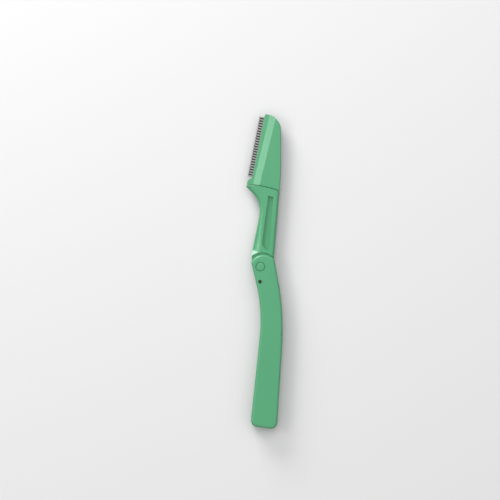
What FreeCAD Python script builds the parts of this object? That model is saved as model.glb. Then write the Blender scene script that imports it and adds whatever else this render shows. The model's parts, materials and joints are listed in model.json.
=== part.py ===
import FreeCAD, Part
import math
import os
import Sketcher

# A folding eyebrow razor, open and lying on its side, in millimetres.
# The handle is drawn about the pivot, with the tip of the razor towards +Y.
# The arm and all that folds with it are drawn about the pivot too, with the
# blade's edge along +Y, and are then turned clockwise by open_lean.

driving_sizes = {
    # handle: rounded hinge end
    "end_radius": 6.9,
    "end_offset": 1.7,
    "end_drop": 0.85,
    "end_left_angle": 155,
    "end_right_angle": 38,
    "end_left_round": 1.4,
    "end_right_round": 2.5,
    # handle: open edge on the left, closed back on the right
    "left_lean_top": 13.5,
    "left_lean_bottom": 6.0,
    "left_bend_depth": 21.7,
    "left_bend_radius": 80,
    "right_lean_top": 10.5,
    "right_lean_bottom": 3.7,
    "right_bend_depth": 23.3,
    "right_bend_radius": 140,
    "bottom_fall": 1.8,
    "bottom_round": 3.3,
    "rim_round": 1.2,
    # handle: walls of the channel that the head folds into, and the room past its tip
    "side_wall": 1.5,
    "back_wall": 1.7,
    "bottom_wall": 1.8,
    "tip_room": 2.6,
    "cord_hole_radius": 1.0,
    "cord_hole_distance": 7.55,
    # pivot rivet
    "shank_radius": 1.5,
    "rivet_head_radius": 2.25,
    "rivet_head_height": 0.8,
    "rivet_head_bevel": 0.2,
    "rivet_inset": 0.1,
    "rivet_head_clearance": 0.1,
    "rivet_seat_clearance": 0.02,
    "running_clearance": 0.05,
    # arm: neck between the hinge and the seam with the head
    "open_lean": 11.2,
    "arm_thickness": 4.6,
    "side_clearance": 0.3,
    "seam_height": 38.6,
    "seam_right": 2.28,
    "seam_radius": 45,
    "seam_gap": 0.25,
    "seam_bevel": 0.25,
    "heel_overhang": 2.05,
    "heel_drop": 1.0,
    "heel_round": 0.8,
    "neck_left": 5.35,
    "neck_corner_drop": 7.1,
    "neck_corner_radius": 13,
    "neck_left_round": 2.0,
    "neck_right_low": 6.15,
    "neck_right_low_height": 4.4,
    "neck_right_round": 1.6,
    # arm: hinge end
    "tang_radius": 3.8,
    "tang_side_angle": 25,
    "tang_left_height": 4.5,
    "tang_step": 0.5,
    "tang_step_margin": 0.8,
    "tang_step_shift": 1.0,
    "pivot_boss_radius": 3.2,
    "stop_level": 0.9,
    "stop_gap": 0.1,
    "shoulder_reach": 7.2,
    "shoulder_rise": 1.8,
    # arm: raised collar round the handle's end
    "collar_gap": 1.1,
    "collar_flat_width": 0.3,
    "collar_slope_width": 2.1,
    "collar_left_angle": 146,
    "collar_rim_half": 0.8,
    # arm: long tapered recess in each face
    "recess_depth": 1.4,
    "recess_wall_lean": 3,
    "recess_top_drop": 3.3,
    "recess_top_margin": 2.4,
    "recess_top_width": 2.5,
    "recess_low_gap": 2.6,
    "recess_low_margin": 4.0,
    "recess_low_width": 3.9,
    "recess_left_rise": 1.5,
    "recess_point_drop": 1.0,
    "recess_point_width": 2.55,
    # arm: tongue that the head covers close on
    "tongue_thickness": 1.6,
    "tongue_gap": 1.2,
    "tongue_width": 3.2,
    "tongue_reach": 13.4,
    "tongue_root": 2.0,
    "tongue_clearance": 0.1,
    # head covers
    "edge_setback": 12.4,
    "edge_rise": 4.2,
    "edge_length": 32.4,
    "heel_shoulder_rise": 2.4,
    "tip_left_round": 0.8,
    "comb_top_margin": 0.5,
    "tip_run": 0.84,
    "tip_slope_width": 4.7,
    "tip_round": 4.0,
    "tip_wall": 0.8,
    "spine_top_drop": 3.3,
    "spine_top_round": 6.0,
    "spine_radius": 300,
    "spine_fall": 0.36,
    "spine_edge_round": 0.6,
    "lip_wall": 0.58,
    "lip_width": 1.7,
    "ridge_width": 5.0,
    "ridge_turn": 2.5,
    # pegs that join the two covers
    "peg_radius": 0.7,
    "peg_length": 1.1,
    "peg_root": 0.5,
    "peg_clearance": 0.05,
    "peg_end_gap": 0.1,
    "blade_peg_margin": 5.0,
    "tongue_peg_rise": 7.4,
    # blade
    "blade_thickness": 0.3,
    "blade_depth": 6.2,
    "blade_bevel": 0.9,
    "blade_end_margin": 0.3,
    "blade_edge_gap": 0.15,
    "blade_clearance": 0.02,
    # comb guard folded over the blade's edge
    "comb_thickness": 0.2,
    "comb_depth": 3.0,
    "tooth_reach": 2.6,
    "tooth_spacing": 1.3,
    "slot_width": 0.62,
    "slot_root": 0.2,
    # shared by all cuts and by the search for edges
    "overrun": 2.0,
    "match_distance": 0.05,
}

fillet_room_share = 0.9

doc = FreeCAD.newDocument("folding_razor")
sheet = doc.addObject("Spreadsheet::Sheet", "sizes")
for row, (name, number) in enumerate(driving_sizes.items(), start=1):
    sheet.set(f"A{row}", name)
    sheet.set(f"B{row}", str(number))
    sheet.setAlias(f"B{row}", name)
doc.recompute()

half_arm = "(sizes.arm_thickness / 2)"
half_channel = "(sizes.arm_thickness / 2 + sizes.side_clearance)"
half_handle = f"({half_channel} + sizes.side_wall)"
half_blade = "(sizes.blade_thickness / 2)"
half_comb = f"({half_blade} + sizes.comb_thickness)"
edge_bottom = "(sizes.seam_height + sizes.edge_rise)"
head_top = f"({edge_bottom} + sizes.edge_length)"
heel_reach = "(sizes.edge_setback + sizes.heel_overhang)"


# Expressions and places

def measure(expression):
    return float(sheet.evalExpression(expression))


def spot(place):
    return FreeCAD.Vector(measure(place[0]), measure(place[1]), 0)


def around(centre, radius, angle):
    return (f"({centre[0]} + {radius} * cos({angle}))", f"({centre[1]} + {radius} * sin({angle}))")


def down_a_lean(start, depth, lean):
    return (f"({start[0]} + ({start[1]} + {depth}) * tan({lean}))", f"(-{depth})")


def set_in(corner, wall, normal_one, normal_two):
    # Moves a corner inwards by a wall, away from its two sides' outward normals.
    spread = f"(1 + cos({normal_one} - {normal_two}))"
    x = f"({corner[0]} - {wall} * (cos({normal_one}) + cos({normal_two})) / {spread})"
    y = f"({corner[1]} - {wall} * (sin({normal_one}) + sin({normal_two})) / {spread})"
    return (x, y)


def turned(place, angle):
    x = f"({place[0]} * cos({angle}) - {place[1]} * sin({angle}))"
    y = f"({place[0]} * sin({angle}) + {place[1]} * cos({angle}))"
    return (x, y)


# Sketches and features

def new_body(name):
    body = doc.addObject("PartDesign::Body", name)
    body.Label = name
    return body


def new_sketch(body, name, role="XY_Plane"):
    sketch = body.newObject("Sketcher::SketchObject", name)
    plane = next(feature for feature in body.Origin.OriginFeatures if feature.Role == role)
    sketch.AttachmentSupport = [(plane, "")]
    sketch.MapMode = "FlatFace"
    return sketch


def face_sketch(body, name, height, flip):
    # A level sketch at a height above the middle, or below it if flipped.
    sketch = new_sketch(body, name)
    sign = "-" if flip else ""
    sketch.setExpression("AttachmentOffset.Base.z", f"{sign}{height}")
    return sketch


def turn_sketch(sketch, angle):
    # Turns an upright sketch about the sketch's own up direction. The axis has to be set
    # before its angle can be bound.
    rotation = FreeCAD.Rotation(FreeCAD.Vector(0, 1, 0), measure(angle))
    sketch.AttachmentOffset = FreeCAD.Placement(FreeCAD.Vector(0, 0, 0), rotation)
    sketch.setExpression("AttachmentOffset.Rotation.Angle", angle)


def bind(sketch, constraint, expression):
    index = sketch.addConstraint(constraint)
    sketch.setExpression(f"Constraints[{index}]", expression)


def pin(sketch, geometry, end, place):
    # A line or arc starts at its point 1 and ends at its point 2, and a circle's centre is
    # its point 3. Distances run from the sketch's origin, which is point 1 of geometry -1.
    for kind, expression in zip(("DistanceX", "DistanceY"), place):
        bind(sketch, Sketcher.Constraint(kind, -1, 1, geometry, end, measure(expression)), expression)


def arc_through(start, end, radius, outward):
    chord = end - start
    side = FreeCAD.Vector(chord.y, -chord.x, 0).normalize()
    if not outward:
        side = -side
    rise = radius - math.sqrt(radius ** 2 - (chord.Length / 2) ** 2)
    return Part.Arc(start, (start + end) / 2 + side * rise, end)


def draw_outline(sketch, corners, arcs=None):
    # Corners run counter-clockwise. arcs maps a corner's number to the radius of the
    # arc that leaves it, and to whether that arc bulges outwards.
    arcs = arcs or {}
    places = [spot(corner) for corner in corners]
    edges = []
    for number, start in enumerate(places):
        end = places[(number + 1) % len(places)]
        if number not in arcs:
            line = sketch.addGeometry(Part.LineSegment(start, end))
            edges.append((line, 1, 2))
            continue
        radius, outward = arcs[number]
        arc = sketch.addGeometry(arc_through(start, end, measure(radius), outward))
        bind(sketch, Sketcher.Constraint("Radius", arc, measure(radius)), radius)
        edges.append((arc, 1, 2) if outward else (arc, 2, 1))
    for number, (edge, _, last) in enumerate(edges):
        following, first, _ = edges[(number + 1) % len(edges)]
        sketch.addConstraint(Sketcher.Constraint("Coincident", edge, last, following, first))
    for corner, (edge, first, _) in zip(corners, edges):
        pin(sketch, edge, first, corner)


def draw_circle(sketch, centre, radius):
    circle = sketch.addGeometry(Part.Circle(spot(centre), FreeCAD.Vector(0, 0, 1), measure(radius)))
    pin(sketch, circle, 3, centre)
    bind(sketch, Sketcher.Constraint("Radius", circle, measure(radius)), radius)


def rectangle(left, bottom, right, top):
    return [(left, bottom), (right, bottom), (right, top), (left, top)]


def extrude(body, kind, name, sketch, length, middle=False, flip=False):
    feature = body.newObject(f"PartDesign::{kind}", name)
    feature.Profile = sketch
    feature.setExpression("Length", length)
    feature.Midplane = middle
    feature.Reversed = flip
    sketch.Visibility = False
    doc.recompute()
    return feature


def edge_names(feature, accepts):
    return [f"Edge{number}" for number, edge in enumerate(feature.Shape.Edges, start=1) if accepts(edge)]


def middle_of(edge):
    return edge.valueAt((edge.FirstParameter + edge.LastParameter) / 2)


def ends_in_plan(edge):
    return [FreeCAD.Vector(vertex.X, vertex.Y, 0) for vertex in edge.Vertexes]


def close_to(one, other):
    return one.distanceToPoint(other) < measure("sizes.match_distance")


def upright_near(places):
    spots = [spot(place) for place in places]

    def accepts(edge):
        if edge.BoundBox.ZLength < measure("sizes.match_distance"):
            return False
        return all(any(close_to(end, place) for place in spots) for end in ends_in_plan(edge))

    return accepts


def level_at(heights):
    levels = [measure(height) for height in heights]

    def accepts(edge):
        box = edge.BoundBox
        return any(max(abs(box.ZMin - level), abs(box.ZMax - level)) < measure("sizes.match_distance")
                   for level in levels)

    return accepts


def high_beside_round(shape, radius, height):
    # Edges above a height on the wall that follows an arc of the outline.
    def accepts(edge):
        if min(abs(vertex.Z) for vertex in edge.Vertexes) < measure(f"{height} - sizes.match_distance"):
            return False
        walls = [face.Surface for face in shape.ancestorsOfType(edge, Part.Face)]
        rounds = [wall.Radius for wall in walls if isinstance(wall, Part.Cylinder)]
        return any(abs(found - measure(radius)) < measure("sizes.match_distance") for found in rounds)

    return accepts


def round_edges(body, name, base, edges, radius):
    feature = body.newObject("PartDesign::Fillet", name)
    feature.Base = (base, edges)
    feature.setExpression("Radius", radius)
    doc.recompute()
    return feature


# Handle: one moulding, a channel that is open along its left edge and at the hinge

both_faces = (("front", False), ("back", True))
left_length = f"({head_top} + sizes.tip_room + sizes.bottom_wall)"
right_length = f"({left_length} + sizes.bottom_fall)"
end_centre = ("sizes.end_offset", "(-sizes.end_drop)")
end_left = around(end_centre, "sizes.end_radius", "sizes.end_left_angle")
end_right = around(end_centre, "sizes.end_radius", "sizes.end_right_angle")
left_bend = down_a_lean(end_left, "sizes.left_bend_depth", "sizes.left_lean_top")
right_bend = down_a_lean(end_right, "sizes.right_bend_depth", "sizes.right_lean_top")
bottom_left = (
    f"({left_bend[0]} - ({left_length} - sizes.left_bend_depth) * tan(sizes.left_lean_bottom))",
    f"(-{left_length})",
)
bottom_right = (
    f"({right_bend[0]} - ({right_length} - sizes.right_bend_depth) * tan(sizes.right_lean_bottom))",
    f"(-{right_length})",
)
half_bend = "((sizes.right_lean_top + sizes.right_lean_bottom) / 2)"
right_room = f"(({end_right[1]} + sizes.right_bend_depth) / cos(sizes.right_lean_top) / tan({half_bend}))"
right_bend_fit = f"min(sizes.right_bend_radius; {fillet_room_share} * {right_room})"
cord_hole = ("0", "(-sizes.cord_hole_distance)")


def make_handle():
    body = new_body("handle")
    outline = new_sketch(body, "handle_outline")
    corners = [end_right, end_left, left_bend, bottom_left, bottom_right, right_bend]
    draw_outline(outline, corners, {0: ("sizes.end_radius", True)})
    shape = extrude(body, "Pad", "handle_block", outline, f"2 * {half_handle}", middle=True)

    corner_rounds = [
        ("left_bend", left_bend, "sizes.left_bend_radius"),
        ("right_bend", right_bend, right_bend_fit),
        ("bottom_left", bottom_left, "sizes.bottom_round"),
        ("bottom_right", bottom_right, "sizes.bottom_round"),
        ("end_left", end_left, "sizes.end_left_round"),
        ("end_right", end_right, "sizes.end_right_round"),
    ]
    for name, corner, radius in corner_rounds:
        edges = edge_names(shape, upright_near([corner]))
        shape = round_edges(body, f"handle_{name}_round", shape, edges, radius)

    rims = edge_names(shape, level_at([half_handle, f"-{half_handle}"]))
    rim_limit = f"min(sizes.rim_round; {fillet_room_share} * sizes.side_wall)"
    round_edges(body, "handle_rim", shape, rims, rim_limit)

    cut_handle_channel(body)
    cut_handle_stop(body)
    cut_handle_holes(body)
    return body


def cut_handle_channel(body):
    inner_bend = set_in(right_bend, "sizes.back_wall", "sizes.right_lean_top", "(-sizes.right_lean_bottom)")
    inner_top = set_in(end_right, "sizes.back_wall", "sizes.right_lean_top", "sizes.right_lean_top")
    above = f"({end_centre[1]} + sizes.end_radius + sizes.overrun)"
    beyond = f"({bottom_left[0]} - sizes.overrun)"
    # The channel's floor runs along the handle's bottom edge, which falls to the right.
    fall = f"(sizes.bottom_fall / ({bottom_right[0]} - {bottom_left[0]}))"
    floor_start = f"({bottom_left[1]} + sizes.bottom_wall * sqrt(1 + {fall} * {fall}))"
    back_slope = "tan(sizes.right_lean_bottom)"
    drop = f"({inner_bend[1]} - {floor_start} - {fall} * {bottom_left[0]})"
    inner_corner = f"(({inner_bend[0]} - {drop} * {back_slope}) / (1 + {fall} * {back_slope}))"
    corners = [
        (inner_top[0], above),
        (beyond, above),
        (beyond, f"({floor_start} + {fall} * sizes.overrun)"),
        (inner_corner, f"({floor_start} - {fall} * ({inner_corner} - {bottom_left[0]}))"),
        inner_bend,
        inner_top,
    ]
    sketch = new_sketch(body, "channel_outline")
    draw_outline(sketch, corners)
    channel = extrude(body, "Pocket", "channel", sketch, f"2 * {half_channel}", middle=True)
    edges = edge_names(channel, upright_near([inner_bend]))
    round_edges(body, "channel_bend_round", channel, edges, right_bend_fit)


def cut_handle_stop(body):
    # The back wall ends square to the open arm, which comes to rest on it.
    far = "(sizes.end_offset + sizes.end_radius + sizes.overrun)"
    top = f"({far} + sizes.end_radius)"
    corners = rectangle("0", "sizes.stop_level", far, top)
    sketch = new_sketch(body, "stop_outline")
    draw_outline(sketch, [turned(corner, "(-sizes.open_lean)") for corner in corners])
    extrude(body, "Pocket", "stop", sketch, f"2 * {half_channel}", middle=True)


def cut_handle_holes(body):
    sketch = new_sketch(body, "hole_circles")
    draw_circle(sketch, cord_hole, "sizes.cord_hole_radius")
    draw_circle(sketch, ("0", "0"), "(sizes.shank_radius + sizes.running_clearance)")
    extrude(body, "Pocket", "holes", sketch, f"2 * ({half_handle} + sizes.overrun)", middle=True)
    for side, flip in both_faces:
        seat = face_sketch(body, f"{side}_rivet_seat_circle", half_handle, flip)
        draw_circle(seat, ("0", "0"), "(sizes.rivet_head_radius + sizes.rivet_head_clearance)")
        depth = "(sizes.rivet_inset + sizes.rivet_head_height + sizes.rivet_seat_clearance)"
        extrude(body, "Pocket", f"{side}_rivet_seat", seat, depth, flip=flip)


# Pivot rivet: a shank with a flat head set into each side of the handle

def make_rivet():
    body = new_body("pivot_rivet")
    end = f"({half_handle} - sizes.rivet_inset)"
    under = f"({end} - sizes.rivet_head_height)"
    slope = f"({end} - sizes.rivet_head_bevel)"
    face_radius = "(sizes.rivet_head_radius - sizes.rivet_head_bevel)"
    upper = [
        ("sizes.shank_radius", under),
        ("sizes.rivet_head_radius", under),
        ("sizes.rivet_head_radius", slope),
        (face_radius, end),
        ("0", end),
    ]
    lower = [(x, f"(-{z})") for x, z in reversed(upper)]
    sketch = new_sketch(body, "rivet_profile", "XZ_Plane")
    draw_outline(sketch, lower + upper)
    rivet = body.newObject("PartDesign::Revolution", "rivet_turned")
    rivet.Profile = sketch
    rivet.ReferenceAxis = (sketch, ["V_Axis"])
    rivet.Angle = 360
    doc.recompute()
    return body


# Arm: neck, hinge tang, raised collar, recess in each face and the tongue for the head

arm_end_centre = turned(end_centre, "sizes.open_lean")
seam_left_end = (f"(-{heel_reach})", "sizes.seam_height")
seam_right_end = ("sizes.seam_right", "sizes.seam_height")
neck_corner = ("(-sizes.neck_left)", "(sizes.seam_height - sizes.neck_corner_drop)")
neck_right_low = ("sizes.neck_right_low", "sizes.neck_right_low_height")
heel_corner = (f"(-{heel_reach})", "(sizes.seam_height - sizes.heel_drop)")
arm_faces = [half_arm, f"-{half_arm}"]
tongue_left = "(sizes.blade_depth - sizes.edge_setback + sizes.tongue_gap)"
tongue_right = f"({tongue_left} + sizes.tongue_width)"
tongue_top = "(sizes.seam_height + sizes.tongue_reach)"
tongue_peg = (f"({tongue_left} + sizes.tongue_width / 2)", "(sizes.seam_height + sizes.tongue_peg_rise)")


def make_arm():
    body = new_body("arm")
    shoulder = "(sizes.stop_level + sizes.stop_gap)"
    corners = [
        ("sizes.shoulder_reach", shoulder),
        ("sizes.shoulder_reach", f"({shoulder} + sizes.shoulder_rise)"),
        neck_right_low,
        seam_right_end,
        seam_left_end,
        heel_corner,
        neck_corner,
        ("(-sizes.neck_left)", "sizes.tang_left_height"),
        around(("0", "0"), "sizes.tang_radius", "(180 + sizes.tang_side_angle)"),
        around(("0", "0"), "sizes.tang_radius", "(360 - sizes.tang_side_angle)"),
        ("sizes.tang_radius", shoulder),
    ]
    outline = new_sketch(body, "arm_outline")
    draw_outline(outline, corners, {3: ("sizes.seam_radius", True), 8: ("sizes.tang_radius", True)})
    shape = extrude(body, "Pad", "arm_blank", outline, "sizes.arm_thickness", middle=True)
    edges = edge_names(shape, upright_near([neck_corner]))
    shape = round_edges(body, "neck_corner_round", shape, edges, "sizes.neck_corner_radius")
    left_edges = edge_names(shape, along_neck_left)
    left_limit = f"min(sizes.neck_left_round; {fillet_room_share} * {half_arm})"
    shape = round_edges(body, "neck_left_round", shape, left_edges, left_limit)
    shape = round_neck_right(body, shape)
    bevel_seam(body, "arm", shape, half_arm)
    add_collar(body)
    cut_tang_step(body)
    cut_recesses(body)
    add_tongue(body)
    cut_arm_holes(body)
    return body


def along_neck_left(edge):
    if not level_at(arm_faces)(edge):
        return False
    middle = middle_of(edge)
    bottom = measure("sizes.tang_left_height")
    top = measure(heel_corner[1])
    right = measure("-sizes.neck_left + sizes.match_distance")
    return bottom < middle.y < top and middle.x < right


def round_neck_right(body, base):
    low = spot(neck_right_low)
    high = spot(seam_right_end)

    def accepts(edge):
        first, last = ends_in_plan(edge)[0], ends_in_plan(edge)[-1]
        upwards = close_to(first, low) and close_to(last, high)
        downwards = close_to(first, high) and close_to(last, low)
        return level_at(arm_faces)(edge) and (upwards or downwards)

    edges = edge_names(base, accepts)
    return round_edges(body, "neck_right_round", base, edges, "sizes.neck_right_round")


def bevel_seam(body, name, base, height):
    bevel = body.newObject("PartDesign::Chamfer", f"{name}_seam_bevel")
    bevel.Base = (base, edge_names(base, high_beside_round(base.Shape, "sizes.seam_radius", height)))
    bevel.setExpression("Size", "sizes.seam_bevel")
    doc.recompute()


def add_collar(body):
    profile = new_sketch(body, "collar_profile", "XZ_Plane")
    # The collar starts flush inside the neck, straight up from the end's centre.
    turn_sketch(profile, "90")
    profile.setExpression("AttachmentOffset.Base.x", arm_end_centre[0])
    profile.setExpression("AttachmentOffset.Base.z", f"-{arm_end_centre[1]}")
    inner = "(sizes.end_radius + sizes.collar_gap)"
    flat = f"({inner} + sizes.collar_flat_width)"
    upper = [
        (f"({flat} + sizes.collar_slope_width)", "sizes.collar_rim_half"),
        (flat, half_arm),
        (inner, half_arm),
    ]
    lower = [(x, f"(-{z})") for x, z in reversed(upper)]
    draw_outline(profile, lower + upper)
    collar = body.newObject("PartDesign::Revolution", "collar")
    collar.Profile = profile
    collar.ReferenceAxis = (profile, ["V_Axis"])
    collar.setExpression("Angle", "sizes.collar_left_angle - 90")
    doc.recompute()


def cut_tang_step(body):
    centre = (f"({arm_end_centre[0]} - sizes.tang_step_shift)", arm_end_centre[1])
    for side, flip in both_faces:
        sketch = face_sketch(body, f"{side}_tang_step_circles", half_arm, flip)
        draw_circle(sketch, centre, "(sizes.end_radius + sizes.tang_step_margin)")
        draw_circle(sketch, ("0", "0"), "sizes.pivot_boss_radius")
        extrude(body, "Pocket", f"{side}_tang_step", sketch, "sizes.tang_step", flip=flip)


def cut_recesses(body):
    top = "(sizes.seam_height - sizes.recess_top_drop)"
    top_left = "(sizes.recess_top_margin - sizes.neck_left)"
    low = "(sizes.end_radius + sizes.recess_low_gap)"
    low_left = "(sizes.recess_low_margin - sizes.neck_left)"
    corners = [
        (top_left, top),
        (low_left, f"({low} + sizes.recess_left_rise)"),
        (f"({low_left} + sizes.recess_point_width)", f"({low} - sizes.recess_point_drop)"),
        (f"({low_left} + sizes.recess_low_width)", low),
        (f"({top_left} + sizes.recess_top_width)", top),
    ]
    for side, flip in both_faces:
        sketch = face_sketch(body, f"{side}_recess_outline", half_arm, flip)
        draw_outline(sketch, corners)
        recess = extrude(body, "Pocket", f"{side}_recess", sketch, "sizes.recess_depth", flip=flip)
        recess.setExpression("TaperAngle", "-sizes.recess_wall_lean")
    doc.recompute()


def add_tongue(body):
    sketch = new_sketch(body, "tongue_outline")
    bottom = "(sizes.seam_height - sizes.tongue_root)"
    draw_outline(sketch, rectangle(tongue_left, bottom, tongue_right, tongue_top))
    extrude(body, "Pad", "tongue", sketch, "sizes.tongue_thickness", middle=True)


def cut_arm_holes(body):
    sketch = new_sketch(body, "arm_hole_circles")
    draw_circle(sketch, ("0", "0"), "(sizes.shank_radius + sizes.running_clearance)")
    draw_circle(sketch, tongue_peg, "(sizes.peg_radius + sizes.peg_clearance)")
    extrude(body, "Pocket", "arm_holes", sketch, f"2 * ({half_arm} + sizes.overrun)", middle=True)


# Head covers: a front and a back shell that close on the tongue, blade and comb

lip_half = f"({half_comb} + sizes.blade_clearance + sizes.lip_wall)"
# The ridge runs out on the tip's slope, a short run past the round at the flat top's end.
ridge_top = "(sizes.ridge_width + sizes.edge_length / 2 * tan(sizes.ridge_turn))"
tip_slope = "sqrt(sizes.tip_slope_width ^ 2 + sizes.spine_top_drop ^ 2)"
tip_half_turn = f"(({tip_slope} - sizes.tip_slope_width) / sizes.spine_top_drop)"
tip_round_reach = f"(sizes.tip_round * {tip_half_turn} * sizes.tip_slope_width / {tip_slope})"
tip_corner = f"({ridge_top} - sizes.tip_run - {tip_round_reach} - sizes.edge_setback)"
tip_fall = "(sizes.spine_top_drop / sizes.tip_slope_width)"
comb_top = f"({head_top} - sizes.tip_left_round - sizes.comb_top_margin)"
comb_back = "(sizes.comb_depth - sizes.edge_setback)"
blade_back = "(sizes.blade_depth - sizes.edge_setback)"
# The blade's pegs stand midway between the comb's back and the blade's back.
blade_peg_across = f"(({comb_back} + {blade_back}) / 2)"
blade_pegs = [
    (blade_peg_across, f"({edge_bottom} + sizes.blade_peg_margin)"),
    (blade_peg_across, f"({head_top} - sizes.blade_peg_margin)"),
]


def under_tip(wall):
    # Height, over the comb's back, of a line that keeps a wall below the tip's slope.
    drop = f"({wall} * {tip_slope} / sizes.tip_slope_width)"
    return f"({head_top} - ({comb_back} - {tip_corner}) * {tip_fall} - {drop})"


def make_cover(name, sign):
    body = new_body(name)
    flip = sign == "-"
    seam = "(sizes.seam_height + sizes.seam_gap)"
    corners = [
        (f"(-{heel_reach})", seam),
        ("sizes.seam_right", seam),
        (f"({tip_corner} + sizes.tip_slope_width)", f"({head_top} - sizes.spine_top_drop)"),
        (tip_corner, head_top),
        ("(-sizes.edge_setback)", head_top),
        ("(-sizes.edge_setback)", edge_bottom),
        (f"(-{heel_reach})", "(sizes.seam_height + sizes.heel_shoulder_rise)"),
    ]
    outline = new_sketch(body, f"{name}_outline")
    draw_outline(outline, corners, {0: ("sizes.seam_radius", False), 1: ("sizes.spine_radius", True)})
    shape = extrude(body, "Pad", f"{name}_blank", outline, half_arm, flip=flip)
    rounds = [
        ("spine_top", corners[2], "sizes.spine_top_round"),
        ("tip", corners[3], "sizes.tip_round"),
        ("tip_left", corners[4], "sizes.tip_left_round"),
        ("heel", corners[6], "sizes.heel_round"),
    ]
    for place, corner, radius in rounds:
        edges = edge_names(shape, upright_near([corner]))
        shape = round_edges(body, f"{name}_{place}_round", shape, edges, radius)
    shape = cut_facets(body, name, sign)
    spine = edge_names(shape, high_beside_round(shape.Shape, "sizes.spine_radius", lip_half))
    shape = round_edges(body, f"{name}_spine_round", shape, spine, "sizes.spine_edge_round")
    bevel_seam(body, name, shape, lip_half)
    cut_cover_inside(body, name, flip)
    if flip:
        cut_peg_sockets(body, name)
    else:
        add_pegs(body, name)
    return body


def cut_facets(body, name, sign):
    # Seen along the blade: a thin lip, a slope up to the ridge, then a slow fall to the spine.
    profile = new_sketch(body, f"{name}_facet_profile", "XZ_Plane")
    turn_sketch(profile, "-sizes.ridge_turn")
    profile.setExpression("AttachmentOffset.Base.x", "-sizes.edge_setback")
    profile.setExpression("AttachmentOffset.Base.z", f"-({edge_bottom} + {head_top}) / 2")
    beyond = f"(-{heel_reach})"
    above = f"({half_arm} + sizes.overrun)"
    head_width = "(sizes.edge_setback + sizes.seam_right)"
    slope = f"(sizes.spine_fall / ({head_width} - sizes.ridge_width))"
    far = f"({head_width} + sizes.overrun)"
    heights = [
        (beyond, lip_half),
        ("sizes.lip_width", lip_half),
        ("sizes.ridge_width", half_arm),
        (far, f"({half_arm} - {slope} * ({far} - sizes.ridge_width))"),
        (far, above),
        (beyond, above),
    ]
    corners = [(x, f"({sign}{z})") for x, z in heights]
    if sign == "-":
        corners.reverse()
    draw_outline(profile, corners)
    return extrude(body, "Pocket", f"{name}_facets", profile, f"2 * {head_top}", middle=True)


def cut_cover_inside(body, name, flip):
    far = "(-sizes.edge_setback - sizes.tooth_reach - sizes.overrun)"
    room = "sizes.blade_clearance"
    low = f"({edge_bottom} - {room})"
    high = f"({comb_top} + {room})"
    tongue_room = "sizes.tongue_clearance"
    tongue_seat = rectangle(
        f"({tongue_left} - {tongue_room})",
        "(sizes.seam_height - sizes.overrun)",
        f"({tongue_right} + {tongue_room})",
        f"({tongue_top} + {tongue_room})",
    )
    seat_back = f"({blade_back} + {room})"
    slope_start = under_tip(f"(sizes.tip_wall - {room})")
    blade_seat = [
        (far, low),
        (seat_back, low),
        (seat_back, f"({slope_start} - ({seat_back} - {comb_back}) * {tip_fall})"),
        (f"({comb_back} + ({slope_start} - {high}) / {tip_fall})", high),
        (far, high),
    ]
    seats = [
        ("comb_seat", rectangle(far, low, f"({comb_back} + {room})", high), f"({half_comb} + {room})"),
        ("blade_seat", blade_seat, f"({half_blade} + {room})"),
        ("tongue_seat", tongue_seat, f"(sizes.tongue_thickness / 2 + {room})"),
    ]
    for place, corners, depth in seats:
        sketch = new_sketch(body, f"{name}_{place}_outline")
        draw_outline(sketch, corners)
        extrude(body, "Pocket", f"{name}_{place}", sketch, depth, flip=not flip)


def add_pegs(body, name):
    sketch = new_sketch(body, f"{name}_peg_circles")
    sketch.setExpression("AttachmentOffset.Base.z", "sizes.tongue_thickness / 2 + sizes.peg_root")
    for peg in blade_pegs + [tongue_peg]:
        draw_circle(sketch, peg, "sizes.peg_radius")
    length = "(sizes.peg_length + sizes.tongue_thickness / 2 + sizes.peg_root)"
    extrude(body, "Pad", f"{name}_pegs", sketch, length, flip=True)


def cut_peg_sockets(body, name):
    sketch = new_sketch(body, f"{name}_socket_circles")
    for peg in blade_pegs + [tongue_peg]:
        draw_circle(sketch, peg, "(sizes.peg_radius + sizes.peg_clearance)")
    extrude(body, "Pocket", f"{name}_sockets", sketch, "(sizes.peg_length + sizes.peg_end_gap)")


# Blade: a thin steel strip, ground on both sides, with a hole for each peg

def make_blade():
    body = new_body("blade")
    edge = "(-sizes.edge_setback - sizes.tooth_reach + sizes.comb_thickness + sizes.blade_edge_gap)"
    shoulder = f"({edge} + sizes.blade_bevel)"
    start = f"({edge_bottom} + sizes.blade_end_margin)"
    profile = new_sketch(body, "blade_profile", "XZ_Plane")
    profile.setExpression("AttachmentOffset.Base.z", f"-{start}")
    draw_outline(profile, [
        (edge, "0"),
        (shoulder, f"(-{half_blade})"),
        (blade_back, f"(-{half_blade})"),
        (blade_back, half_blade),
        (shoulder, half_blade),
    ])
    length = f"({comb_top} - {edge_bottom} - 2 * sizes.blade_end_margin)"
    extrude(body, "Pad", "blade_strip", profile, length, flip=True)
    # The strip's top corner is clipped along the tip's slope.
    slope_start = under_tip("sizes.tip_wall")
    above = f"({head_top} + sizes.overrun)"
    beyond = f"({blade_back} + sizes.overrun)"
    clip = new_sketch(body, "blade_clip_outline")
    draw_outline(clip, [
        (comb_back, slope_start),
        (beyond, f"({slope_start} - ({beyond} - {comb_back}) * {tip_fall})"),
        (beyond, above),
        (comb_back, above),
    ])
    extrude(body, "Pocket", "blade_clip", clip, "2 * sizes.overrun", middle=True)
    holes = new_sketch(body, "blade_hole_circles")
    for peg in blade_pegs:
        draw_circle(holes, peg, "(sizes.peg_radius + sizes.peg_clearance)")
    extrude(body, "Pocket", "blade_holes", holes, "2 * sizes.overrun", middle=True)
    return body


# Comb guard: thin sheet folded round the edge, slotted so that teeth stand between the slots

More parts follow.
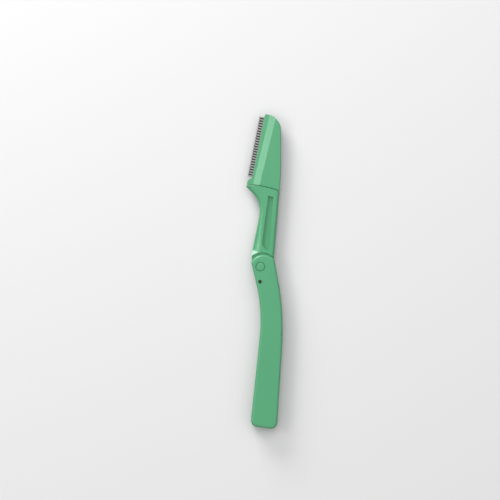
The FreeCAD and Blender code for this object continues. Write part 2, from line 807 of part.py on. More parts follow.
def make_comb():
    body = new_body("comb_guard")
    nose = "(-sizes.edge_setback - sizes.tooth_reach)"
    bend = f"({nose} + {half_comb})"
    profile = new_sketch(body, "comb_profile", "XZ_Plane")
    profile.setExpression("AttachmentOffset.Base.z", f"-{edge_bottom}")
    corners = [
        (bend, f"(-{half_comb})"),
        (comb_back, f"(-{half_comb})"),
        (comb_back, f"(-{half_blade})"),
        (bend, f"(-{half_blade})"),
        (f"({nose} + sizes.comb_thickness)", "0"),
        (bend, half_blade),
        (comb_back, half_blade),
        (comb_back, half_comb),
        (bend, half_comb),
        (nose, "0"),
    ]
    inner_arc = (half_blade, False)
    outer_arc = (half_comb, True)
    draw_outline(profile, corners, {3: inner_arc, 4: inner_arc, 8: outer_arc, 9: outer_arc})
    length = f"({comb_top} - {edge_bottom})"
    extrude(body, "Pad", "comb_fold", profile, length, flip=True)

    slots = f"floor(({length} - sizes.slot_width) / sizes.tooth_spacing)"
    margin = f"({length} - ({slots} - 1) * sizes.tooth_spacing) / 2"
    low = f"({edge_bottom} + {margin} - sizes.slot_width / 2)"
    slot = new_sketch(body, "slot_outline")
    left = f"({nose} - sizes.overrun)"
    right = "(-sizes.edge_setback - sizes.slot_root)"
    draw_outline(slot, rectangle(left, low, right, f"({low} + sizes.slot_width)"))
    first = extrude(body, "Pocket", "first_slot", slot, "2 * sizes.overrun", middle=True)
    row = body.newObject("PartDesign::LinearPattern", "slots")
    row.Originals = [first]
    row.Direction = (slot, ["V_Axis"])
    row.setExpression("Length", f"({slots} - 1) * sizes.tooth_spacing")
    row.setExpression("Occurrences", slots)
    body.Tip = row
    doc.recompute()
    return body


handle = make_handle()
rivet = make_rivet()
folding = [
    make_arm(),
    make_cover("head_front_cover", ""),
    make_cover("head_back_cover", "-"),
    make_blade(),
    make_comb(),
]
nodes = [handle, rivet] + folding

# The open razor's place: its box stands centred over the origin, on the handle's back side.
upright = FreeCAD.Vector(0, 0, 1)
lean = FreeCAD.Rotation(upright, -measure("sizes.open_lean"))
for body in folding:
    body.Placement = FreeCAD.Placement(FreeCAD.Vector(0, 0, 0), lean)
doc.recompute()
box = FreeCAD.BoundBox()
for body in nodes:
    box.add(body.Shape.optimalBoundingBox(False))
origin = FreeCAD.Vector(box.Center.x, box.Center.y, box.ZMin)
for body in nodes:
    body.Placement = FreeCAD.Placement(-origin, body.Placement.Rotation)
doc.recompute()

for item in doc.Objects:
    if {"Invalid", "Error"} & set(item.State):
        raise RuntimeError(f"{item.Name} failed: {item.State}")
for body in nodes:
    if body.Shape.isNull() or not body.Shape.isValid():
        raise RuntimeError(f"{body.Label} has no valid shape")

os.makedirs("parts", exist_ok=True)
for body in nodes:
    body.Shape.exportStep(os.path.join("parts", f"{body.Label}.step"))
    print(f"{body.Label}: {len(body.Shape.Solids)} solid, {body.Shape.Volume:.2f} mm3")
print(f"box {box.XLength:.2f} x {box.YLength:.2f} x {box.ZLength:.2f} mm, pivot at {tuple(-origin)}")
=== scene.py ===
import bmesh
import bpy
import json
import math
from mathutils import Matrix, Vector


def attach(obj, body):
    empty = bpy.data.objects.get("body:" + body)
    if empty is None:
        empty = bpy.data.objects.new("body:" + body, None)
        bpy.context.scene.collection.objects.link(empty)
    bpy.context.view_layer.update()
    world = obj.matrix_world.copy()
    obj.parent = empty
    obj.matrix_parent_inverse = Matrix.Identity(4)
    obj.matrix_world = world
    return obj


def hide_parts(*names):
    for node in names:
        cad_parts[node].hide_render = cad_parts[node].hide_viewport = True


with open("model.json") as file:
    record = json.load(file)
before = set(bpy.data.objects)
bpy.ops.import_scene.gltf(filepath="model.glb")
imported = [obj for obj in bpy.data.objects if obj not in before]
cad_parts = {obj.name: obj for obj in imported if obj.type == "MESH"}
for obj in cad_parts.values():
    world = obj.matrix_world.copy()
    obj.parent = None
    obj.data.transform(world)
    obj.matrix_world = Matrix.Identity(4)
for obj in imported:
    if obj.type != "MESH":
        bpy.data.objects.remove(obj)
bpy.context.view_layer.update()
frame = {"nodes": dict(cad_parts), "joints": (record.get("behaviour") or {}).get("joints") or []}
mm = 0.001  # sizes are in millimetres unless a note says otherwise, the scene is in metres
pivot = Vector(frame["joints"][0]["pos_m"])
openLean = math.radians(-11.2)  # the open arm leans clockwise from the handle's +Y
armPlace = Matrix.Translation(pivot) @ Matrix.Rotation(openLean, 4, "Z")
print("frame loaded, pivot at", tuple(round(value / mm, 3) for value in pivot))


# Node helpers: a value may be plain, or a socket to link from

def feed(tree, socket, value):
    if isinstance(value, bpy.types.NodeSocket):
        tree.links.new(value, socket)
    else:
        socket.default_value = value


def addNode(tree, kind, inputs=None, **settings):
    node = tree.nodes.new(kind)
    for name, value in settings.items():
        setattr(node, name, value)
    for name, value in (inputs or {}).items():
        feed(tree, node.inputs[name], value)
    return node


def firstOut(tree, kind, inputs=None, **settings):
    return addNode(tree, kind, inputs, **settings).outputs[0]


def calc(tree, operation, *values):
    node = addNode(tree, "ShaderNodeMath", operation=operation)
    for socket, value in zip(node.inputs, values):
        feed(tree, socket, value)
    return node.outputs[0]


def joinXyz(tree, **parts):
    return firstOut(tree, "ShaderNodeCombineXYZ", parts)


def newGroup(name, kind, inputs, outputs):
    group = bpy.data.node_groups.new(name, kind)
    for direction, sockets in (("INPUT", inputs), ("OUTPUT", outputs)):
        for label, socketKind in sockets.items():
            group.interface.new_socket(name=label, in_out=direction, socket_type=socketKind)
    entry = group.nodes.new("NodeGroupInput")
    leave = group.nodes.new("NodeGroupOutput")
    return group, entry.outputs, leave.inputs


# Finishes: groups that vary a surface's colour, roughness and height, with noise scales per metre

finishOutputs = {"Color": "NodeSocketColor", "Roughness": "NodeSocketFloat", "Height": "NodeSocketFloat"}
noiseMean = 0.5  # noise values lie evenly about it


def addNoise(tree, where, scale, detail):
    return firstOut(tree, "ShaderNodeTexNoise", {"Vector": where, "Scale": scale, "Detail": detail})


def addStreaks(tree, where, turn, stretch, detail):
    # Noise turned to the piece's length and drawn out along it
    angles = joinXyz(tree, Z=turn)
    along = firstOut(tree, "ShaderNodeMapping", {"Vector": where, "Rotation": angles, "Scale": stretch})
    return addNoise(tree, along, 1, detail)  # the mapping has scaled it already


def blendColors(tree, share, first, second):
    colors = {"Factor": share, "A": first, "B": second}
    return addNode(tree, "ShaderNodeMix", colors, data_type="RGBA").outputs["Result"]


# Moulded plastic: slow drifts of tone, faint flow lines along the moulding and a fine orange peel
skinLook = {
    "drift": {"scale": 70, "detail": 2}, "flow": {"stretch": (900, 45, 900), "detail": 3},
    "peel": {"scale": 650, "detail": 2}, "grain": {"scale": 5200, "detail": 1},
    "driftShare": 0.85, "flowShare": 0.15, "toneFrom": 0.3, "toneTo": 0.7, "deepest": 0.35,
    "roughnessSpread": 0.02, "grainHeight": 0.15,
}


def makeMouldedSkin(look):
    inputs = {"Tint": "NodeSocketColor", "Deep Tint": "NodeSocketColor",
              "Gloss Roughness": "NodeSocketFloat", "Flow Turn": "NodeSocketFloat"}
    group, entry, leave = newGroup("mouldedSkin", "ShaderNodeTree", inputs, finishOutputs)
    where = addNode(group, "ShaderNodeTexCoord").outputs["Object"]
    drift = addNoise(group, where, **look["drift"])
    flow = addStreaks(group, where, entry["Flow Turn"], **look["flow"])
    peel = addNoise(group, where, **look["peel"])
    grain = addNoise(group, where, **look["grain"])
    tone = calc(group, "ADD", calc(group, "MULTIPLY", drift, look["driftShare"]),
                calc(group, "MULTIPLY", flow, look["flowShare"]))
    share = firstOut(group, "ShaderNodeMapRange", {
        "Value": tone, "From Min": look["toneFrom"], "From Max": look["toneTo"],
        "To Min": 0.0, "To Max": look["deepest"]})
    group.links.new(blendColors(group, share, entry["Tint"], entry["Deep Tint"]), leave["Color"])
    sway = calc(group, "SUBTRACT", calc(group, "ADD", flow, grain), 2 * noiseMean)
    spread = calc(group, "MULTIPLY", sway, look["roughnessSpread"])
    group.links.new(calc(group, "ADD", entry["Gloss Roughness"], spread), leave["Roughness"])
    height = calc(group, "ADD", peel, calc(group, "MULTIPLY", grain, look["grainHeight"]))
    group.links.new(height, leave["Height"])
    return group


# Ground sheet steel: fine streaks along the strip and faint clouding
steelLook = {
    "streak": {"stretch": (14000, 500, 14000), "detail": 3}, "cloud": {"scale": 260, "detail": 2},
    "roughnessSpread": 0.3,
}


def makeGroundSteel(look):
    inputs = {"Tint": "NodeSocketColor", "Shade Tint": "NodeSocketColor",
              "Polish Roughness": "NodeSocketFloat", "Streak Turn": "NodeSocketFloat"}
    group, entry, leave = newGroup("groundSteel", "ShaderNodeTree", inputs, finishOutputs)
    where = addNode(group, "ShaderNodeTexCoord").outputs["Object"]
    streak = addStreaks(group, where, entry["Streak Turn"], **look["streak"])
    cloud = addNoise(group, where, **look["cloud"])
    share = calc(group, "DIVIDE", calc(group, "ADD", streak, cloud), 2)
    group.links.new(blendColors(group, share, entry["Tint"], entry["Shade Tint"]), leave["Color"])
    sway = calc(group, "SUBTRACT", streak, noiseMean)
    spread = calc(group, "MULTIPLY", sway, look["roughnessSpread"])
    group.links.new(calc(group, "ADD", entry["Polish Roughness"], spread), leave["Roughness"])
    group.links.new(streak, leave["Height"])
    return group


def makeMaterial(name, group, finishInputs, bump, shader):
    material = bpy.data.materials.new(name)
    material.use_nodes = True
    tree = material.node_tree
    tree.nodes.clear()
    finish = addNode(tree, "ShaderNodeGroup", finishInputs, node_tree=group).outputs
    relief = firstOut(tree, "ShaderNodeBump", {
        "Height": finish["Height"], "Strength": bump["strength"], "Distance": bump["distance"] * mm})
    surface = firstOut(tree, "ShaderNodeBsdfPrincipled", {
        "Base Color": finish["Color"], "Roughness": finish["Roughness"], "Normal": relief, **shader})
    addNode(tree, "ShaderNodeOutputMaterial", {"Surface": surface})
    return material


mouldedSkin = makeMouldedSkin(skinLook)
groundSteel = makeGroundSteel(steelLook)
plasticShader = {"IOR": 1.5, "Coat Weight": 0.25, "Coat Roughness": 0.12}
steelShader = {"Metallic": 1.0}
razorGreen = {"Tint": (0.1, 0.42, 0.205, 1), "Deep Tint": (0.085, 0.39, 0.185, 1)}
handlePlastic = makeMaterial(
    "handlePlastic", mouldedSkin, {**razorGreen, "Gloss Roughness": 0.3},
    {"strength": 0.12, "distance": 0.05}, plasticShader)
armPlastic = makeMaterial(
    "armPlastic", mouldedSkin, {**razorGreen, "Gloss Roughness": 0.27, "Flow Turn": -openLean},
    {"strength": 0.1, "distance": 0.05}, plasticShader)
# Blade steel with painted shade: its tint is near-black so that the slots between the comb's teeth read as
# shadow
bladeSteelPaintedShade = makeMaterial(
    "bladeSteelPaintedShade", groundSteel,
    {"Tint": (0.045, 0.048, 0.048, 1), "Shade Tint": (0.02, 0.022, 0.022, 1),
     "Polish Roughness": 0.4, "Streak Turn": -openLean},
    {"strength": 0.2, "distance": 0.01}, steelShader)
combSteel = makeMaterial(
    "combSteel", groundSteel,
    {"Tint": (0.42, 0.43, 0.42, 1), "Shade Tint": (0.3, 0.31, 0.3, 1),
     "Polish Roughness": 0.42, "Streak Turn": -openLean},
    {"strength": 0.1, "distance": 0.01}, steelShader)
print("materials made")


# Mesh helpers

def linkPiece(name, mesh, material):
    piece = bpy.data.objects.new(name, mesh)
    bpy.context.scene.collection.objects.link(piece)
    mesh.materials.clear()
    mesh.materials.append(material)
    return piece


def bakeModifiers(piece):
    depsgraph = bpy.context.evaluated_depsgraph_get()
    plain = bpy.data.meshes.new_from_object(piece.evaluated_get(depsgraph))
    piece.modifiers.clear()
    piece.data = plain


def joinRings(shape, rings):
    # Faces between rings of points, and one over each end
    faces = []
    for one, other in zip(rings, rings[1:]):
        for number in range(len(one)):
            after = (number + 1) % len(one)
            faces.append(shape.faces.new((one[number], other[number], other[after], one[after])))
    faces.append(shape.faces.new(rings[0]))
    faces.append(shape.faces.new(rings[-1]))
    bmesh.ops.recalc_face_normals(shape, faces=faces)


# Mouldings: the solids' own shapes, with their coarse curves made finer

curveLook = {"levels": 3, "tolerance": 0.002, "gridPerMm": 1e4}


def readCorners(mesh):
    # Joins the points that lie together, and keeps each triangle's own normals at its corners
    known = {}
    points = []
    numbers = []
    for vert in mesh.vertices:
        key = tuple(round(value / mm * curveLook["gridPerMm"]) for value in vert.co)
        if key not in known:
            known[key] = len(points)
            points.append(vert.co.copy())
        numbers.append(known[key])
    mesh.calc_loop_triangles()
    triangles = []
    for triangle in mesh.loop_triangles:
        corners = [(numbers[mesh.loops[loop].vertex_index], mesh.corner_normals[loop].vector.copy())
                   for loop in triangle.loops]
        if len({number for number, normal in corners}) == 3:  # slivers that closed up are dropped
            triangles.append(corners)
    return points, triangles


def edgesOf(corners):
    return zip(corners, corners[1:] + corners[:1])


def edgeKey(one, other):
    return min(one, other), max(one, other)


def bulge(start, end, startNormal, endNormal):
    # How far the middle of an edge lies under the curve that its two normals stand on
    half = (end - start) / 2
    return (endNormal * half.dot(endNormal) - startNormal * half.dot(startNormal)) / 4


def splitEdges(points, triangles, tolerance):
    lifts = {}
    for corners in triangles:
        for (one, oneNormal), (other, otherNormal) in edgesOf(corners):
            lift = bulge(points[one], points[other], oneNormal, otherNormal)
            found = lifts.setdefault(edgeKey(one, other), [])
            if all((lift - earlier).length > tolerance for earlier in found):
                found.append(lift)
    middles = {}
    for (one, other), found in lifts.items():
        lift = sum(found, Vector())
        if lift.length > tolerance:
            middles[one, other] = len(points)
            points.append((points[one] + points[other]) / 2 + lift)
    return middles


def refineCurves(points, triangles, tolerance):
    middles = splitEdges(points, triangles, tolerance)
    finer = []
    for corners in triangles:
        ring = []
        cut = []
        for (one, oneNormal), (other, otherNormal) in edgesOf(corners):
            ring.append((one, oneNormal))
            middle = middles.get(edgeKey(one, other))
            if middle is not None:
                cut.append(len(ring))
                ring.append((middle, (oneNormal + otherNormal).normalized()))
        count = len(ring)
        if len(cut) == 3:
            finer.append([ring[place] for place in cut])
            finer += [[ring[(place + step) % count] for step in range(3)] for place in cut]
        elif cut:
            # A fan from the first new point covers the rest
            turned = [ring[(cut[0] + step) % count] for step in range(count)]
            finer += [[turned[0], turned[step], turned[step + 1]] for step in range(1, count - 1)]
        else:
            finer.append(corners)
    return finer


def keepInside(points, lowest, highest):
    # New points stay within the solid's own box
    for point in points:
        for axis in range(3):
            point[axis] = min(max(point[axis], lowest[axis]), highest[axis])


def refinedCopy(node, look):
    points, triangles = readCorners(frame["nodes"][node].data)
    lowest = [min(point[axis] for point in points) for axis in range(3)]
    highest = [max(point[axis] for point in points) for axis in range(3)]
    for level in range(curveLook["levels"]):
        triangles = refineCurves(points, triangles, curveLook["tolerance"] * mm)
    keepInside(points, lowest, highest)
    mesh = bpy.data.meshes.new(look["name"])
    mesh.from_pydata(points, [], [[number for number, normal in corners] for corners in triangles])
    if "reshape" in look:
        look["reshape"](mesh)
    mesh.shade_smooth()
    if "smoothAngle" in look:
        mesh.set_sharp_from_angle(angle=math.radians(look["smoothAngle"]))
    else:
        mesh.normals_split_custom_set([normal for corners in triangles for number, normal in corners])
    piece = linkPiece(look["name"], mesh, look["material"])
    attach(piece, look["body"])
    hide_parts(node)
    print(look["name"], "has", len(mesh.polygons), "faces")


# Neck: its left side rolls off as far as the recess, and the collar's slope stands out of the roll.
# All in the arm's own axes, from the pivot. Cuts are given as first, last and step, angles in degrees.

neckLook = {
    "left": -5.35, "slack": 0.01, "halfThickness": 2.3, "round": 2.0,
    "rollWidth": 4.0, "rollFrom": 11.0, "rollTo": 24.5, "rollPower": 1.3, "roundPower": 2.0,
    "cutsAcross": (-5.3, -1.4, 0.3), "cutsAlong": (5.0, 24.5, 0.5), "weld": 0.001,
}
collarLook = {
    "centre": Vector((1.833, -0.504)), "topRadius": 8.3, "rimRadius": 10.4, "rimHeight": 0.8,
    "rootHeight": 0.4, "stepRadius": 7.7, "stepShift": 1.0, "lowest": 3.0,
    "from": 92, "to": 146, "turnSteps": 54, "slopeSteps": 8, "taperFrom": 126, "tipWidth": 0.4,
    "slopeSink": 0.01, "neckSink": 0.1,
}


def between(start, stop, step):
    return [start + step * number for number in range(int((stop - start) / step) + 1)]


def limit(value):
    return min(max(value, 0), 1)


def blend(start, end, share):
    return start + (end - start) * share


def collarHeight(radius):
    width = collarLook["rimRadius"] - collarLook["topRadius"]
    fall = (neckLook["halfThickness"] - collarLook["rimHeight"]) / width
    return neckLook["halfThickness"] - max(radius - collarLook["topRadius"], 0) * fall


def collarRim(angle):
    # The slope narrows to a tip at the collar's left end
    share = limit((angle - collarLook["taperFrom"]) / (collarLook["to"] - collarLook["taperFrom"]))
    width = collarLook["rimRadius"] - collarLook["topRadius"]
    return collarLook["topRadius"] + blend(width, collarLook["tipWidth"], share ** 2)


def rolledHeight(x, y):
    # Height of the neck's face: a broad roll beside the hinge that narrows up to the plain round
    up = limit((y - neckLook["rollFrom"]) / (neckLook["rollTo"] - neckLook["rollFrom"]))
    width = blend(neckLook["rollWidth"], neckLook["round"], up)
    power = blend(neckLook["rollPower"], neckLook["roundPower"], up)
    outward = limit(1 - (x - neckLook["left"]) / width)
    roll = neckLook["halfThickness"] - neckLook["round"] * (1 - (1 - outward ** power) ** (1 / power))
    radius = (Vector((x, y)) - collarLook["centre"]).length
    return max(roll, collarHeight(radius) - collarLook["neckSink"])


def cutNeck(shape):
    # Lines across and along the neck, for the roll to bend at
    for axis, cuts in (((1, 0, 0), "cutsAcross"), ((0, 1, 0), "cutsAlong")):
        normal = Vector(axis)
        for place in between(*neckLook[cuts]):
            parts = shape.verts[:] + shape.edges[:] + shape.faces[:]
            bmesh.ops.bisect_plane(shape, geom=parts, plane_co=normal * place * mm, plane_no=normal)


def rollNeck(shape):
    for vert in shape.verts:
        x, y, z = vert.co / mm
        beside = x > neckLook["left"] - neckLook["slack"]
        onNeck = beside and neckLook["cutsAlong"][0] < y < neckLook["rollTo"]
        if onNeck and abs(z) > neckLook["halfThickness"] - neckLook["round"]:
            vert.co.z = math.copysign(min(abs(z), rolledHeight(x, y)), z) * mm


def narrowCollar(shape):
    # Draws the solid's own collar in to the narrowed rim
    for vert in shape.verts:
        x, y = vert.co.xy / mm
        beyond = x < neckLook["left"] - neckLook["slack"]
        if beyond and collarLook["lowest"] < y < neckLook["rollFrom"]:
            spoke = Vector((x, y)) - collarLook["centre"]
            rim = collarRim(math.degrees(math.atan2(spoke.y, spoke.x)))
            vert.co.xy = (collarLook["centre"] + spoke * min(1, rim / spoke.length)) * mm


def collarSection(angle):
    # Radius and height of the points round one cut through the slope, from its inner end to the rim
    rim = collarRim(angle)
    shift = math.cos(math.radians(angle)) * collarLook["stepShift"]
    inner = math.sqrt(shift ** 2 + collarLook["stepRadius"] ** 2 - collarLook["stepShift"] ** 2) - shift
    steps = collarLook["slopeSteps"]
    radii = [blend(inner, rim, step / steps) for step in range(steps + 1)]
    slope = [(radius, collarHeight(radius) - collarLook["slopeSink"]) for radius in radii]
    return [(inner, collarLook["rootHeight"]), *slope, (rim, collarLook["rootHeight"])]


def addCollar(shape, side):
    rings = []
    for turn in range(collarLook["turnSteps"] + 1):
        angle = blend(collarLook["from"], collarLook["to"], turn / collarLook["turnSteps"])
        outward = Vector((math.cos(math.radians(angle)), math.sin(math.radians(angle))))
        ring = []
        for radius, height in collarSection(angle):
            plan = collarLook["centre"] + outward * radius
            ring.append(shape.verts.new(Vector((*plan, side * height)) * mm))
        rings.append(ring)
    joinRings(shape, rings)


def reshapeNeck(mesh):
    shape = bmesh.new()
    shape.from_mesh(mesh)
    shape.transform(armPlace.inverted())
    cutNeck(shape)
    rollNeck(shape)
    narrowCollar(shape)
    # Slivers that the cuts leave are taken out
    bmesh.ops.remove_doubles(shape, verts=shape.verts[:], dist=neckLook["weld"] * mm)
    bmesh.ops.dissolve_degenerate(shape, edges=shape.edges[:], dist=neckLook["weld"] * mm)
    for side in (1, -1):
        addCollar(shape, side)
    shape.transform(armPlace)
    shape.to_mesh(mesh)
    shape.free()


handleLook = {
    "name": "handleShell", "material": handlePlastic, "slot": "handle_plastic", "body": "handle_body",
}
armLook = {
    "name": "neckArm", "material": armPlastic, "slot": "arm_plastic", "body": "folding_arm",
    "reshape": reshapeNeck, "smoothAngle": 30,
}
frontCoverLook = {
    "name": "frontCover", "material": armPlastic, "slot": "arm_plastic", "body": "folding_arm",
}
backCoverLook = {**frontCoverLook, "name": "backCover"}
refinedCopy("handle", handleLook)
refinedCopy("arm", armLook)
refinedCopy("head_front_cover", frontCoverLook)
refinedCopy("head_back_cover", backCoverLook)


# Rivet: turned about the hinge axis, its low-crowned heads eased all round so that a fine groove shows

rivetLook = {
    "shankRadius": 1.5, "headRadius": 2.25, "halfLength": 4.0, "headHeight": 0.8,
    "easing": 0.45, "easingSteps": 5, "crown": 0.05, "crownRings": (0.75, 0.5, 0.25),
    "turnSteps": 72, "smoothAngle": 40,
}


def rivetProfile(look):
    # Upper half as (radius, height) from the shank out and over the head to the last ring of its crown
    top = look["halfLength"] - look["crown"]
    profile = [
        (look["shankRadius"], 0.0),
        (look["shankRadius"], look["halfLength"] - look["headHeight"]),
        (look["headRadius"], look["halfLength"] - look["headHeight"]),
    ]
    for step in range(look["easingSteps"] + 1):
        angle = math.pi / 2 * step / look["easingSteps"]
        profile.append((look["headRadius"] - look["easing"] * (1 - math.cos(angle)),
                        top - look["easing"] * (1 - math.sin(angle))))
    flatRadius = look["headRadius"] - look["easing"]
    for share in look["crownRings"]:
        profile.append((flatRadius * share, top + look["crown"] * (1 - share ** 2)))
    return profile


def turnRivet(look):
    upper = rivetProfile(look)
    profile = [(radius, -height) for radius, height in reversed(upper[1:])] + upper
    angles = [2 * math.pi * step / look["turnSteps"] for step in range(look["turnSteps"])]
    shape = bmesh.new()
    rings = []
    for radius, height in profile:
        places = [Vector((math.cos(angle) * radius, math.sin(angle) * radius, height)) for angle in angles]
        rings.append([shape.verts.new(place * mm) for place in places])
    joinRings(shape, rings)
    mesh = bpy.data.meshes.new("rivet")
    shape.to_mesh(mesh)
    shape.free()
    mesh.transform(Matrix.Translation(pivot))
    mesh.shade_smooth()
    mesh.set_sharp_from_angle(angle=math.radians(look["smoothAngle"]))
    piece = linkPiece("hingeRivet", mesh, handlePlastic)
    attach(piece, "handle_body")
    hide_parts("pivot_rivet")
    print("rivet turned with", len(mesh.polygons), "faces")


turnRivet(rivetLook)


# Comb guard: one cell of slotted sheet, folded over the blade's edge and repeated along it

combLook = {
    "teeth": 24, "spacing": 1.3, "toothWidth": 0.68, "length": 31.1, "middle": 58.35,
    "foldCentre": -14.65, "foldRadius": 0.25, "foldSteps": 8, "slotRoot": -12.6, "plateBack": -9.4,
    "sheet": 0.2, "edgeRound": 0.05, "edgeSteps": 2, "edgeAngle": 50, "weld": 0.001,
}
legRows = 2  # rows on each leg: tooth and plate
columns = 4  # lines across one cell: two at its borders, two at the tooth's sides


def readPlace(tree):
    place = firstOut(tree, "GeometryNodeInputPosition")
    return addNode(tree, "ShaderNodeSeparateXYZ", {"Vector": place}).outputs


def foldCell(tree, entry, foldSteps):
    rows = foldSteps + 2 * legRows + 1
    sheet = firstOut(tree, "GeometryNodeMeshGrid", {"Vertices X": rows, "Vertices Y": columns})
    index = firstOut(tree, "GeometryNodeInputIndex")
    row = calc(tree, "FLOOR", calc(tree, "DIVIDE", index, columns))
    column = calc(tree, "SUBTRACT", calc(tree, "MODULO", index, columns), (columns - 1) / 2)
    # Round the fold, then out along the legs: first to the slots' roots, then to the plate's back
    turn = firstOut(tree, "ShaderNodeMapRange", {
        "Value": row, "From Min": legRows, "From Max": legRows + foldSteps,
        "To Min": math.pi / 2, "To Max": math.pi * 3 / 2})
    above = calc(tree, "SUBTRACT", legRows, row)
    below = calc(tree, "SUBTRACT", row, legRows + foldSteps)
    out = calc(tree, "MAXIMUM", calc(tree, "MAXIMUM", above, below), 0)
    slotRun = calc(tree, "MULTIPLY", calc(tree, "MINIMUM", out, 1), entry["Slot Run"])
    onPlate = calc(tree, "MAXIMUM", calc(tree, "SUBTRACT", out, 1), 0)
    legRun = calc(tree, "ADD", slotRun, calc(tree, "MULTIPLY", onPlate, entry["Plate Run"]))
    bend = calc(tree, "MULTIPLY", calc(tree, "COSINE", turn), entry["Fold Radius"])
    height = calc(tree, "MULTIPLY", calc(tree, "SINE", turn), entry["Fold Radius"])
    # Along the edge, the two inner lines are the tooth's sides and the outer ones the cell's borders
    border = calc(tree, "GREATER_THAN", calc(tree, "ABSOLUTE", column), 1)
    halfTooth = calc(tree, "DIVIDE", entry["Tooth Width"], 2)
    halfCell = calc(tree, "DIVIDE", entry["Spacing"], 2)
    widen = calc(tree, "MULTIPLY", border, calc(tree, "SUBTRACT", halfCell, halfTooth))
    along = calc(tree, "MULTIPLY", calc(tree, "SIGN", column), calc(tree, "ADD", halfTooth, widen))
    place = joinXyz(tree, X=calc(tree, "ADD", bend, legRun), Y=along, Z=height)
    folded = firstOut(tree, "GeometryNodeSetPosition", {"Geometry": sheet, "Position": place})
    # Slots: the faces beside the tooth, from the fold as far as the roots
    spot = readPlace(tree)
    beside = calc(tree, "GREATER_THAN", calc(tree, "ABSOLUTE", spot["Y"]), halfTooth)
    before = calc(tree, "LESS_THAN", spot["X"], entry["Slot Run"])
    slot = calc(tree, "MULTIPLY", beside, before)
    cutOut = {"Geometry": folded, "Selection": slot}
    return firstOut(tree, "GeometryNodeDeleteGeometry", cutOut, domain="FACE")


def repeatCell(tree, entry, cell, weld):
    half = calc(tree, "DIVIDE", calc(tree, "SUBTRACT", entry["Teeth"], 1), -2)
    start = joinXyz(tree, Y=calc(tree, "MULTIPLY", half, entry["Spacing"]))
    step = joinXyz(tree, Y=entry["Spacing"])
    line = firstOut(tree, "GeometryNodeMeshLine",
                    {"Count": entry["Teeth"], "Start Location": start, "Offset": step})
    cells = firstOut(tree, "GeometryNodeInstanceOnPoints", {"Points": line, "Instance": cell})
    comb = firstOut(tree, "GeometryNodeRealizeInstances", {"Geometry": cells})
    joined = firstOut(tree, "GeometryNodeMergeByDistance", {"Geometry": comb, "Distance": weld * mm})
    # The plate's ends are trimmed to the comb's length
    halfLength = calc(tree, "DIVIDE", entry["Length"], 2)
    spot = readPlace(tree)
    raised = calc(tree, "MAXIMUM", spot["Y"], calc(tree, "MULTIPLY", halfLength, -1))
    inside = joinXyz(tree, X=spot["X"], Y=calc(tree, "MINIMUM", raised, halfLength), Z=spot["Z"])
    return firstOut(tree, "GeometryNodeSetPosition", {"Geometry": joined, "Position": inside})


def combTree(look):
    lengths = ("Spacing", "Tooth Width", "Length", "Fold Radius", "Slot Run", "Plate Run")
    inputs = {"Geometry": "NodeSocketGeometry", "Teeth": "NodeSocketInt"}
    inputs.update({label: "NodeSocketFloat" for label in lengths})
    inputs["Material"] = "NodeSocketMaterial"
    outputs = {"Geometry": "NodeSocketGeometry"}
    tree, entry, leave = newGroup("combFold", "GeometryNodeTree", inputs, outputs)
    cell = foldCell(tree, entry, look["foldSteps"])
    comb = repeatCell(tree, entry, cell, look["weld"])
    finished = firstOut(tree, "GeometryNodeSetMaterial", {"Geometry": comb, "Material": entry["Material"]})
    tree.links.new(finished, leave["Geometry"])
    return tree


def foldComb(look):
    piece = linkPiece("combGuard", bpy.data.meshes.new("combGuard"), combSteel)
    tree = combTree(look)
    fold = piece.modifiers.new("combFold", "NODES")
    fold.node_group = tree
    values = {
        "Teeth": look["teeth"], "Spacing": look["spacing"] * mm, "Tooth Width": look["toothWidth"] * mm,
        "Length": look["length"] * mm, "Fold Radius": look["foldRadius"] * mm,
        "Slot Run": (look["slotRoot"] - look["foldCentre"]) * mm,
        "Plate Run": (look["plateBack"] - look["slotRoot"]) * mm, "Material": combSteel,
    }
    for socket in tree.interface.items_tree:
        if socket.in_out == "INPUT" and socket.name in values:
            fold[socket.identifier] = values[socket.name]
    bakeModifiers(piece)
    thick = piece.modifiers.new("sheet", "SOLIDIFY")
    thick.thickness = look["sheet"] * mm
    thick.offset = 0  # half the sheet on each side
    thick.use_even_offset = True
    edge = piece.modifiers.new("easedEdges", "BEVEL")
    edge.width = look["edgeRound"] * mm
    edge.segments = look["edgeSteps"]
    edge.angle_limit = math.radians(look["edgeAngle"])
    bakeModifiers(piece)
    mesh = piece.data
    shape = bmesh.new()
    shape.from_mesh(mesh)
    bmesh.ops.recalc_face_normals(shape, faces=shape.faces)
    shape.to_mesh(mesh)
    shape.free()
    mesh.transform(armPlace @ Matrix.Translation(Vector((look["foldCentre"], look["middle"], 0)) * mm))
    mesh.shade_smooth()
    mesh.set_sharp_from_angle(angle=math.radians(look["edgeAngle"]))
    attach(piece, "folding_arm")
    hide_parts("comb_guard")
    print("comb folded with", len(mesh.polygons), "faces")


foldComb(combLook)

bladeMesh = frame["nodes"]["blade"].data  # the blade keeps the solid's own mesh
bladeMesh.materials.clear()
bladeMesh.materials.append(bladeSteelPaintedShade)
print("blade has", len(bladeMesh.polygons), "faces")


# Floor, light and camera

stageLook = {"floorWidth": 6000, "floorDrop": 0.1, "shownWhite": 0.87, "bouncedWhite": 0.12}


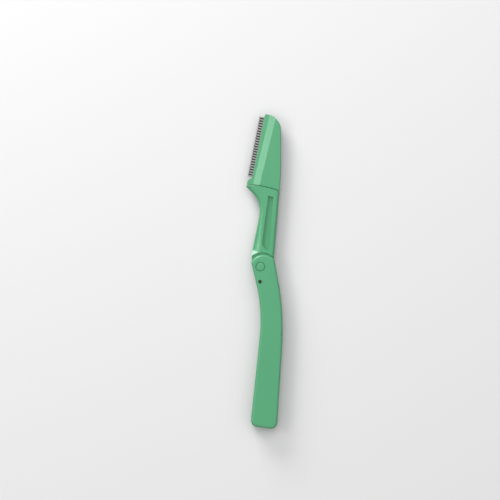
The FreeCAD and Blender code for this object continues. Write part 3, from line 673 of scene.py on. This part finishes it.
def layFloor(look):
    half = look["floorWidth"] * mm / 2
    height = -look["floorDrop"] * mm
    corners = [(-half, -half, height), (half, -half, height), (half, half, height), (-half, half, height)]
    mesh = bpy.data.meshes.new("floor")
    mesh.from_pydata(corners, [], [(0, 1, 2, 3)])
    paint = bpy.data.materials.new("floorPaint")
    paint.use_nodes = True
    tree = paint.node_tree
    tree.nodes.clear()
    # Pale to the eye, but it throws less light back at the razor's sides
    path = addNode(tree, "ShaderNodeLightPath").outputs
    mirrored = calc(tree, "MAXIMUM", path["Is Glossy Ray"], path["Is Transmission Ray"])
    seen = calc(tree, "MAXIMUM", path["Is Camera Ray"], mirrored)
    white = firstOut(tree, "ShaderNodeMapRange",
                     {"Value": seen, "To Min": look["bouncedWhite"], "To Max": look["shownWhite"]})
    matt = firstOut(tree, "ShaderNodeBsdfDiffuse", {"Color": white})
    addNode(tree, "ShaderNodeOutputMaterial", {"Surface": matt})
    linkPiece("floor", mesh, paint)


layFloor(stageLook)

# Stops are pairs of height, from level to straight up, and brightness
skyLook = {"strength": 0.85, "shown": 0.85, "stops": ((0.0, 0.03), (0.35, 0.25), (0.75, 1.0), (1.0, 0.5))}


def makeSky(look):
    # Soft light all round, strongest halfway up, so that level faces mirror no glare
    world = bpy.data.worlds.new("studio")
    bpy.context.scene.world = world
    world.use_nodes = True
    tree = world.node_tree
    tree.nodes.clear()
    outward = addNode(tree, "ShaderNodeTexCoord").outputs["Generated"]
    up = addNode(tree, "ShaderNodeSeparateXYZ", {"Vector": outward}).outputs["Z"]
    ramp = addNode(tree, "ShaderNodeValToRGB", {"Fac": up})
    elements = ramp.color_ramp.elements
    while len(elements) < len(look["stops"]):
        elements.new(0.5)  # placed below
    for element, (height, level) in zip(elements, look["stops"]):
        element.position = height
        element.color = (level, level, level, 1)
    light = firstOut(tree, "ShaderNodeBackground", {"Color": ramp.outputs[0], "Strength": look["strength"]})
    shown = firstOut(tree, "ShaderNodeBackground", {"Strength": look["shown"]})
    camera = addNode(tree, "ShaderNodeLightPath").outputs["Is Camera Ray"]
    both = firstOut(tree, "ShaderNodeMixShader", {0: camera, 1: light, 2: shown})
    addNode(tree, "ShaderNodeOutputWorld", {"Surface": both})


makeSky(skyLook)

# Softboxes: bearing from +X towards +Y and height above the floor in degrees, distance and size in metres
lampLook = {
    "topSoftbox": {"bearing": 82, "height": 66, "distance": 1.2, "size": (0.7, 0.7), "power": 2.5},
    "slopeCard": {"bearing": 168, "height": 44, "distance": 1.2, "size": (0.4, 0.3), "power": 1.4},
    "lowStrip": {"bearing": 118, "height": 20, "distance": 1.0, "size": (0.6, 0.35), "power": 7},
}


def hangLamp(name, look):
    light = bpy.data.lights.new(name, "AREA")
    light.shape = "RECTANGLE"
    light.size, light.size_y = look["size"]
    light.energy = look["power"]
    lamp = bpy.data.objects.new(name, light)
    bpy.context.scene.collection.objects.link(lamp)
    bearing = math.radians(look["bearing"])
    height = math.radians(look["height"])
    flat = math.cos(height)
    outward = Vector((flat * math.cos(bearing), flat * math.sin(bearing), math.sin(height)))
    lamp.location = outward * look["distance"]
    lamp.rotation_euler = lamp.location.to_track_quat("Z", "Y").to_euler()


for lampName, look in lampLook.items():
    hangLamp(lampName, look)

# Field is the width seen at the hinge's height, and aim its middle from the pivot
cameraLook = {"field": 250, "lens": 180.0, "sensor": 36.0, "aim": (-5.1, 8.25)}


def placeCamera(look):
    camera = bpy.data.cameras.new("camera")
    camera.lens = look["lens"]
    camera.sensor_width = look["sensor"]
    holder = bpy.data.objects.new("camera", camera)
    bpy.context.scene.collection.objects.link(holder)
    distance = look["field"] * look["lens"] / look["sensor"]
    holder.location = pivot + Vector((*look["aim"], distance)) * mm  # looks straight down, the tip upwards
    bpy.context.scene.camera = holder


placeCamera(cameraLook)
bpy.context.scene.view_settings.view_transform = "Standard"
print("stage, lights and camera set")
